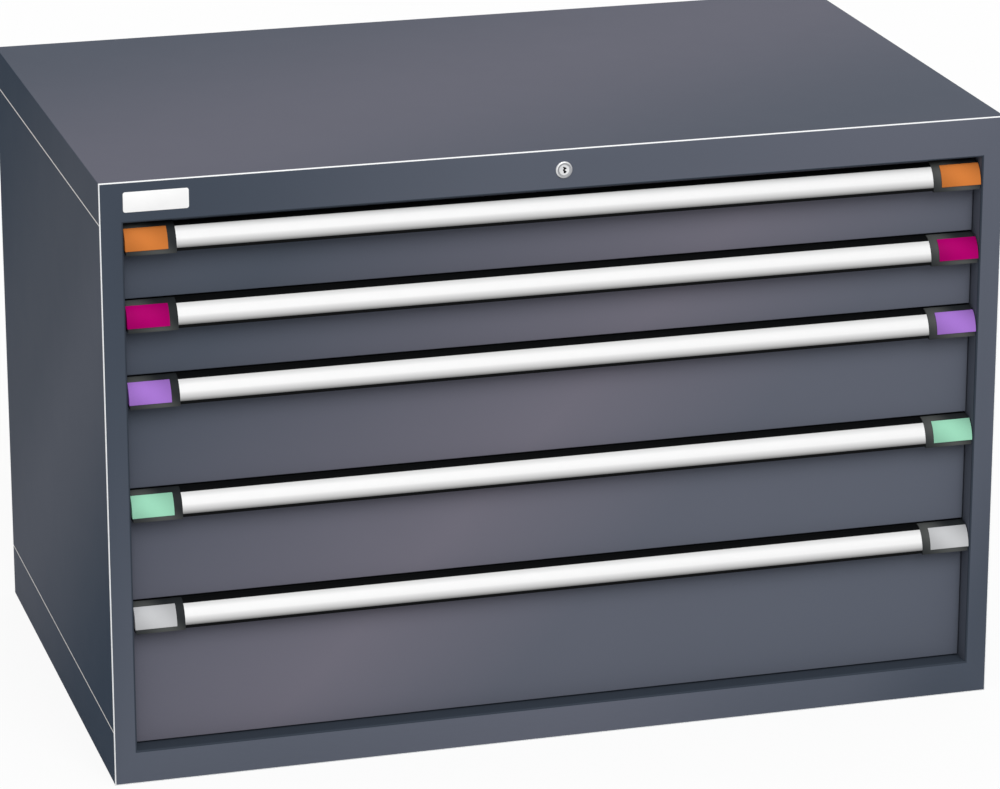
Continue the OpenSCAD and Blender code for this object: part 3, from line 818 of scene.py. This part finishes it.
class CABINET_OT_lock(bpy.types.Operator):
    """Build the lock's rosette and core, and finish the lock works"""

    bl_idname = "cabinet.lock"
    bl_label = "Lock"

    def execute(self, context):
        self.rosette()
        self.core()
        for node in ("lock_cam", "lock_rod", "lock_bar", "lock_guides"):
            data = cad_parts[node].data
            data.materials.clear()
            data.materials.append(bpy.data.materials["zinc_plate"])
        return {"FINISHED"}

    def rosette(self):
        """A rounded ring with a sunk step round the core, and the barrel behind it."""
        rim = LOCK_HI.x
        proud = FRONT_Y - LOCK_LO.y
        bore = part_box("lock_core")[1].x * 1.008
        barrel = rim * 0.81
        sunk = LOCK_LO.y + proud * 0.45
        bulge = proud * 0.7
        mesh = bmesh.new()
        profile = [(barrel, LOCK_HI.y), (barrel, FRONT_Y), (rim, FRONT_Y)]
        profile += [(rim - bulge * a, LOCK_LO.y + bulge * b) for a, b in quarter(5)]
        groove = len(profile)
        profile += [(rim * 0.82, LOCK_LO.y), (rim * 0.78, sunk), (bore, sunk), (bore, LOCK_HI.y)]
        bands = turned(mesh, profile, "y", (0, 0, LOCK_Z), closed=True)
        # The sunk step takes the groove's painted shade.
        for face in bands[groove] + bands[groove + 1]:
            face.material_index = 1
        piece("lock_rosette", mesh, ["lock_ring", "lock_groove"], "cabinet",
              ["lock_housing"])

    def core(self):
        """A round core with a zigzag keyway."""
        low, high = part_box("lock_core")
        radius = high.x
        chamfer = radius / 14
        mesh = bmesh.new()
        profile = [(radius * 0.5, high.y), (radius * 0.5, LOCK_HI.y), (radius, LOCK_HI.y),
                   (radius, low.y + chamfer), (radius - chamfer, low.y)]
        turned(mesh, profile, "y", (0, 0, LOCK_Z))
        made = piece("lock_plug", mesh, ["lock_face", "grip_plastic"], "lock_core",
                     ["lock_core"])
        half = radius * 0.17
        ward = radius * 0.22
        zigzag = ((0.6, -0.5), (0.3, 0.3), (0.0, -0.4), (-0.35, 0.3), (-0.6, 0.1))
        left = [(radius * 0.3 * sway - half, LOCK_Z + radius * rise) for rise, sway in zigzag]
        right = [(x + 2 * half + ward * (i % 2), z) for i, (x, z) in enumerate(left)]
        keyway = bmesh.new()
        prism(keyway, left + right[::-1], "y", low.y - chamfer, low.y + radius)
        # The keyway's walls take the black grip finish as painted shade in the slot.
        for face in keyway.faces:
            face.material_index = 1
        cut(made, keyway)


class CABINET_OT_drawers(bpy.types.Operator):
    """Build each drawer's front, slotted tray, runners and rivets"""

    bl_idname = "cabinet.drawers"
    bl_label = "Drawers"

    def execute(self, context):
        size = context.scene.cabinet_sizes
        for n in DRAWERS:
            self.front(n, size)
            self.tray(n, size)
            self.runners(n, size)
        return {"FINISHED"}

    def front(self, n, size):
        """A front folded back round its four edges."""
        low, high = BOXES[n]
        fold = size.fold_radius
        back = FACE_Y + FRONT_FOLD

        def ring(inset, y):
            return upright_ring(FRONT_X - inset, low.z + inset, high.z - inset, y)

        rings = [ring(SHEET, FACE_Y + SHEET), ring(SHEET, back), ring(0, back)]
        rings += [ring(fold * a, FACE_Y + fold * b) for a, b in quarter(4)]
        mesh = bmesh.new()
        loft(mesh, rings)
        mesh.normal_update()
        # The upward faces of the top fold take the black grip finish as painted shade in the gap
        # above each front.
        for face in mesh.faces:
            on_top = face.calc_center_median().z > high.z - fold
            turned_up = abs(face.normal.z) > 0.15
            face.material_index = int(on_top and turned_up)
        finishes = ["paint_fronts", "grip_plastic"]
        piece(f"drawer_{n}_front", mesh, finishes, f"drawer_{n}", [f"drawer_{n}_box"])

    def tray(self, n, size):
        """An open tray whose walls have a row of slots for dividers."""
        low, high = BOXES[n]
        wall = size.tray_sheet
        x = TRAY_X
        y0 = FACE_Y + SHEET + SEAT_GAP
        y1 = high.y
        z0 = low.z + TRAY_LIFT
        z1 = high.z - WALL_DROP
        foot = z0 + size.slot_foot
        head = z1 - size.slot_head

        def ring(inset, z):
            return [(-x + inset, y0 + inset, z), (x - inset, y0 + inset, z),
                    (x - inset, y1 - inset, z), (-x + inset, y1 - inset, z)]

        mesh = bmesh.new()
        fold = size.fold_radius
        loft(mesh, [ring(wall, z0 + wall), ring(wall, foot), ring(0, foot), ring(0, z0 + fold),
                    ring(fold * 0.3, z0 + fold * 0.3), ring(fold, z0)])
        hem = wall / 4
        loft(mesh, [ring(0, head), ring(0, z1 - hem), ring(hem, z1), ring(wall - hem, z1),
                    ring(wall, z1 - hem), ring(wall, head)], closed=True)
        self.slotted_walls(mesh, x, (y0, y1), (foot, head), size)
        piece(f"drawer_{n}_tray", mesh, ["paint_plain"], f"drawer_{n}")

    def slotted_walls(self, mesh, x, y, z, size):
        """The bars between the slots of the four walls, and the posts in the corners."""
        wall = size.tray_sheet
        pitch = size.slot_pitch
        bar = pitch - size.slot_width
        height = z[1] - z[0] + wall
        for axis, span, sides in ((0, (-x, x), y), (1, y, (-x, x))):
            run = span[1] - span[0]
            count = int((run - 2 * wall - size.slot_width) / pitch) - 1
            post = (run - (count + 1) * pitch + bar) / 2
            first = post + size.slot_width + bar / 2
            for width, place, gap, number in (
                    (bar, first, pitch, count), (post, post / 2, run - post, 2)):
                extent = Vector((wall, wall, height))
                extent[axis] = width
                shape = bmesh.new()
                slab(shape, -extent / 2, extent / 2)
                step = Vector((0, 0, 0))
                step[axis] = gap
                rows = []
                for edge in (sides[0] + wall / 2, sides[1] - wall / 2):
                    start = Vector((edge, edge, sum(z) / 2))
                    start[axis] = span[0] + place
                    rows.append((start, step, number))
                add_rows(mesh, shape, rows, "paint_plain")

    def runners(self, n, size):
        """A channel riveted to each side of the tray, and the catch for the lock."""
        end = BOXES[n][1].y
        z0 = RAIL_Z[n]
        x0 = TRAY_X + SEAT_GAP
        mesh = bmesh.new()
        channels(mesh, RUNNER_X, x0, z0, end)
        catch = Vector((x0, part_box("lock_bar")[1].y + CATCH_GAP, z0 - RAIL_LIFT + CATCH_LIFT))
        slab(mesh, catch, catch + Vector((CATCH_REACH, CATCH_DEPTH, CATCH_HEIGHT)))
        count = 6
        run = (end - RAIL_Y0) / count
        for side in (1, -1):
            start = (side * (x0 + RAIL_WALL), RAIL_Y0 + run / 2, z0 + RAIL_HEIGHT / 2)
            heads = rivet_shape(size.rivet_radius, size.rivet_radius / 2, "x", side)
            add_rows(mesh, heads, [(start, (0, run, 0), count)], "zinc_plate")
        piece(f"drawer_{n}_runners", mesh, ["zinc_plate"], f"drawer_{n}")


class CABINET_OT_grips(bpy.types.Operator):
    """Build the grips with their label strips, end caps and coloured clips"""

    bl_idname = "cabinet.grips"
    bl_label = "Grips"

    def execute(self, context):
        size = context.scene.cabinet_sizes
        for n in DRAWERS:
            self.low, self.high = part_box(f"drawer_{n}_handle")
            self.grip(n, size)
            self.label(n)
            self.caps(n, size)
            self.clips(n, size)
        return {"FINISHED"}

    def curve(self, over, start, end, steps=24):
        """Points of the grip's quarter ellipse in Y and Z, from angle to angle in degrees."""
        reach = FACE_Y - self.low.y + over
        rise = self.high.z - self.low.z + over
        angles = [math.radians(start + (end - start) * i / steps) for i in range(steps + 1)]
        return [(FACE_Y - reach * math.cos(a), self.low.z + rise * math.sin(a)) for a in angles]

    def grip(self, n, size):
        """A curved black grip with a turned-in lip and a web on the front."""
        wall = size.grip_wall
        reach = FACE_Y - self.low.y
        rise = self.high.z - self.low.z
        top = math.degrees(math.acos(wall / (reach - wall)))
        foot = math.degrees(math.asin(wall / (rise - wall)))
        web_z = self.high.z - size.grip_web
        lip_y = self.low.y + size.grip_lip
        outline = self.curve(0, 0, 90)
        outline += [(FACE_Y, web_z), (FACE_Y - wall, web_z)]
        outline += self.curve(-wall, top, foot)
        outline += [(lip_y, self.low.z + wall), (lip_y, self.low.z)]
        mesh = bmesh.new()
        prism(mesh, outline, "x", self.low.x, self.high.x)
        piece(f"drawer_{n}_grip", mesh, ["grip_plastic"], f"drawer_{n}",
              [f"drawer_{n}_handle"])

    def label(self, n):
        """A white strip with rounded edges that lies on the grip."""
        low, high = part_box(f"drawer_{n}_label_strip")
        thick = self.low.y - low.y
        mesh = bmesh.new()
        slope = 0.8
        under = self.curve(SEAT_GAP, LABEL_LOW, LABEL_HIGH)
        over = self.curve(thick, LABEL_HIGH - slope, LABEL_LOW + slope)
        upper = self.curve(thick * 0.7, LABEL_HIGH - slope / 4, LABEL_HIGH, 1)[:1]
        lower = self.curve(thick * 0.7, LABEL_LOW + slope / 4, LABEL_LOW, 1)[:1]
        prism(mesh, under + upper + over + lower, "x", low.x, high.x)
        strip = mesh.loops.layers.uv.new("strip")
        extent = high - low
        for face in mesh.faces:
            for loop in face.loops:
                place = loop.vert.co - low
                loop[strip].uv = (place.x / extent.x, place.z / extent.z)
        piece(f"drawer_{n}_label", mesh, ["label_paper"], f"drawer_{n}",
              [f"drawer_{n}_label_strip"])

    def caps(self, n, size):
        """A closed moulding at each end of the grip."""
        low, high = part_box(f"drawer_{n}_end_caps")
        over = self.low.y - low.y
        outline = self.curve(over, 0, 90)
        outline += [(FACE_Y, low.z), (low.y, low.z)]
        mesh = bmesh.new()
        for side in (1, -1):
            prism(mesh, outline, "x", side * self.high.x, side * (high.x - CHEEK_WALL - SEAT_GAP))
        soften(mesh, size.moulded_edge)
        piece(f"drawer_{n}_cap_pair", mesh, [f"cap_plastic_{n}"], f"drawer_{n}",
              [f"drawer_{n}_end_caps"])

    def clips(self, n, size):
        """A coloured clip on each end cap, with a cheek on the cap's outer end."""
        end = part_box(f"drawer_{n}_clips")[1].x
        under = self.low.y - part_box(f"drawer_{n}_end_caps")[0].y + SEAT_GAP
        inner = self.curve(under, LABEL_LOW, LABEL_HIGH)
        outer = self.curve(under + CLIP_WALL, LABEL_HIGH, LABEL_LOW)
        back = FACE_Y - CHEEK_INSET
        cheek = inner + [(back, inner[-1][1]), (back, inner[0][1])]
        mesh = bmesh.new()
        for side in (1, -1):
            prism(mesh, inner + outer, "x", side * (end - CLIP_WIDTH), side * end)
            prism(mesh, cheek, "x", side * (end - CHEEK_WALL), side * end)
        soften(mesh, size.moulded_edge / 2)
        piece(f"drawer_{n}_clip_pair", mesh, [f"clip_plastic_{n}"], f"drawer_{n}",
              [f"drawer_{n}_clips"])


class CABINET_OT_slides(bpy.types.Operator):
    """Build the slotted uprights, the fixed rails, the carriages and the rollers"""

    bl_idname = "cabinet.slides"
    bl_label = "Slides"

    def execute(self, context):
        size = context.scene.cabinet_sizes
        self.uprights(size)
        self.fixed_rails()
        for n in DRAWERS:
            self.carriages(n)
            for place in ROLLERS:
                self.rollers(n, place)
        return {"FINISHED"}

    def uprights(self, size):
        """Four channel columns with a ladder of slots."""
        x0 = RAILS_HI.x
        x1 = UPRIGHTS_HI.x
        z0 = UPRIGHTS_LO.z
        z1 = UPRIGHTS_HI.z
        wall = RAIL_WALL
        strip = (UPRIGHT_WIDTH - size.ladder_slot) / 2
        bar = size.ladder_pitch - size.ladder_slot
        count = int((z1 - z0) / size.ladder_pitch)
        first = z0 + (z1 - z0 - (count - 1) * size.ladder_pitch) / 2
        mesh = bmesh.new()
        rows = []
        for side in (1, -1):
            for y in (UPRIGHTS_LO.y, UPRIGHTS_HI.y - UPRIGHT_WIDTH):
                for edge, inner in ((y, y + strip), (y + UPRIGHT_WIDTH, y + UPRIGHT_WIDTH - strip)):
                    path = [(side * x1, edge), (side * x0, edge), (side * x0, inner)]
                    prism(mesh, folded(path, wall, wall * 1.4), "z", z0, z1)
                middle = (side * (x0 + wall / 2), y + UPRIGHT_WIDTH / 2, first)
                rows.append((middle, (0, 0, size.ladder_pitch), count))
        rung = Vector((wall, size.ladder_slot + wall, bar)) / 2
        shape = bmesh.new()
        slab(shape, -rung, rung)
        add_rows(mesh, shape, rows, "zinc_plate")
        piece("slotted_uprights", mesh, ["zinc_plate"], "cabinet", ["uprights"])

    def fixed_rails(self):
        """A channel rail at each side for each drawer, open towards the carriage."""
        mesh = bmesh.new()
        for n in DRAWERS:
            channels(mesh, RAILS_HI.x - RAIL_DEPTH, RAILS_HI.x, RAIL_Z[n], RAILS_HI.y)
        piece("channel_rails", mesh, ["zinc_plate"], "cabinet", ["fixed_rails"])

    def carriages(self, n):
        """A round-ended plate at each side with the pins of its rollers."""
        node = f"slide_{n}_carriages"
        low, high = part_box(node)
        far = PLATE_X + PLATE_WALL
        runs = {
            "front": (INNER_ROLLER, far), "middle": (INNER_ROLLER, high.x), "rear": (PLATE_X, high.x)}
        outline = stadium(low.y, high.y, low.z, high.z)
        pin = PIN_RADIUS
        mesh = bmesh.new()
        for side in (1, -1):
            prism(mesh, outline, "x", side * PLATE_X, side * far)
            for place, (x0, x1) in runs.items():
                axle = (0, middle_of(f"slide_{n}_{place}_rollers").y, middle_of(node).z)
                profile = [(pin * 0.8, x0), (pin, x0 + pin / 8), (pin, x1 - pin / 8), (pin * 0.8, x1)]
                turned(mesh, [(r, side * x) for r, x in profile], "x", axle, 24)
        piece(f"slide_{n}_plates", mesh, ["zinc_plate"], f"slide_{n}", [node])

    def rollers(self, n, place):
        """Nylon rollers with a rounded tread and sunk flanks."""
        node = f"slide_{n}_{place}_rollers"
        axle = middle_of(node)
        hub = PIN_RADIUS * 1.7
        round_off = ROLLER_WIDTH / 9
        sunk = ROLLER_WIDTH / 7
        rim = ROLLER_RADIUS - round_off
        flank = [(PIN_RADIUS * 1.0125, 0), (hub, 0), (hub, sunk), (rim - sunk, sunk), (rim - sunk, 0),
                 (rim, 0), (ROLLER_RADIUS, round_off)]
        profile = flank + [(r, ROLLER_WIDTH - along) for r, along in reversed(flank)]
        mesh = bmesh.new()
        for start in ROLLERS[place]:
            for side in (1, -1):
                run = [(r, side * (start + along)) for r, along in profile]
                turned(mesh, run, "x", (0, axle.y, axle.z), 40, True)
        piece(f"slide_{n}_{place}_wheels", mesh, ["roller_nylon"], node, [node])


class CABINET_OT_stage(bpy.types.Operator):
    """Set up the floor, the light and the camera"""

    bl_idname = "cabinet.stage"
    bl_label = "Stage"

    def execute(self, context):
        context.scene.view_settings.view_transform = "Standard"
        self.floor()
        self.world(context)
        self.key_light()
        self.camera(context)
        return {"FINISHED"}

    def floor(self):
        """A wide white floor that keeps a pale shadow."""
        mesh = bmesh.new()
        corners = ((-1, -1), (1, -1), (1, 1), (-1, 1))
        outline = [(x * FLOOR_REACH, y * FLOOR_REACH, -FLOOR_DROP) for x, y in corners]
        mesh.faces.new([mesh.verts.new(place) for place in outline])
        floor = loose("floor", mesh)
        tree, shader = shader_of("floor_white", roughness=1.0, specular_ior_level=0.0)
        glow = add(tree, "ShaderNodeEmission", {"Color": (1, 1, 1, 1), "Strength": 1.0})
        seen = seen_white(tree)
        tree.links.new(spread(tree, seen, 0.6, 0.95), shader.inputs["Base Color"])
        mixed = add(tree, "ShaderNodeMixShader", {
            0: spread(tree, seen, 0.0, 0.9), 1: shader.outputs["BSDF"], 2: glow.outputs["Emission"]})
        tree.links.new(mixed.outputs["Shader"], tree.nodes["Material Output"].inputs["Surface"])
        floor.data.materials.append(bpy.data.materials["floor_white"])

    def world(self, context):
        """Even light from all round, in front of a white background."""
        world = bpy.data.worlds.new("studio")
        world.use_nodes = True
        tree = world.node_tree
        strength = spread(tree, seen_white(tree), SKY_LIGHT, 1.0)
        ground = tree.nodes["Background"]
        ground.inputs["Color"].default_value = (1, 1, 1, 1)
        tree.links.new(strength, ground.inputs["Strength"])
        context.scene.world = world

    def key_light(self):
        """A broad soft light from above in front."""
        lamp = bpy.data.lights.new("key", "SUN")
        lamp.energy = KEY_LIGHT * math.pi
        lamp.angle = math.radians(KEY_ANGLE)
        key = linked("key", lamp)
        key.rotation_euler = Vector(KEY_FROM).to_track_quat("Z", "Y").to_euler()

    def camera(self, context):
        """The photograph's view: a long lens from the upper left in front."""
        lens = bpy.data.cameras.new("camera")
        lens.sensor_width = 36.0
        lens.lens = CAMERA_FOCUS_PX / IMAGE_WIDTH_PX * lens.sensor_width
        lens.clip_end = 200.0
        camera = linked("camera", lens)
        camera.location = CAMERA_PLACE
        camera.rotation_euler = (math.radians(90 - CAMERA_PITCH), 0, math.radians(-CAMERA_YAW))
        context.scene.camera = camera


class CABINET_PT_sidebar(bpy.types.Panel):
    """The cabinet's sizes, colours and builders"""

    bl_idname = "CABINET_PT_sidebar"
    bl_label = "Drawer cabinet"
    bl_space_type = "VIEW_3D"
    bl_region_type = "UI"
    bl_category = "Cabinet"

    def draw(self, context):
        for group in (context.scene.cabinet_sizes, context.scene.cabinet_colours):
            column = self.layout.column(align=True)
            for name in group.__annotations__:
                column.prop(group, name)
        for operator in BUILDERS:
            self.layout.operator(operator.bl_idname)


BUILDERS = (
    CABINET_OT_finishes, CABINET_OT_shell, CABINET_OT_front_frame, CABINET_OT_lock,
    CABINET_OT_drawers, CABINET_OT_grips, CABINET_OT_slides, CABINET_OT_stage)
CLASSES = (CabinetSizes, CabinetColours, *BUILDERS, CABINET_PT_sidebar)


def register():
    """Registers the classes and hangs the properties on the scene."""
    for each in CLASSES:
        bpy.utils.register_class(each)
    bpy.types.Scene.cabinet_sizes = bpy.props.PointerProperty(type=CabinetSizes)
    bpy.types.Scene.cabinet_colours = bpy.props.PointerProperty(type=CabinetColours)


def unregister():
    """Takes the properties and the classes away again."""
    del bpy.types.Scene.cabinet_colours
    del bpy.types.Scene.cabinet_sizes
    for each in reversed(CLASSES):
        bpy.utils.unregister_class(each)


def main():
    """Builds the cabinet."""
    register()
    for operator in BUILDERS:
        family, name = operator.bl_idname.split(".")
        getattr(getattr(bpy.ops, family), name)()


if __name__ == "__main__":
    main()
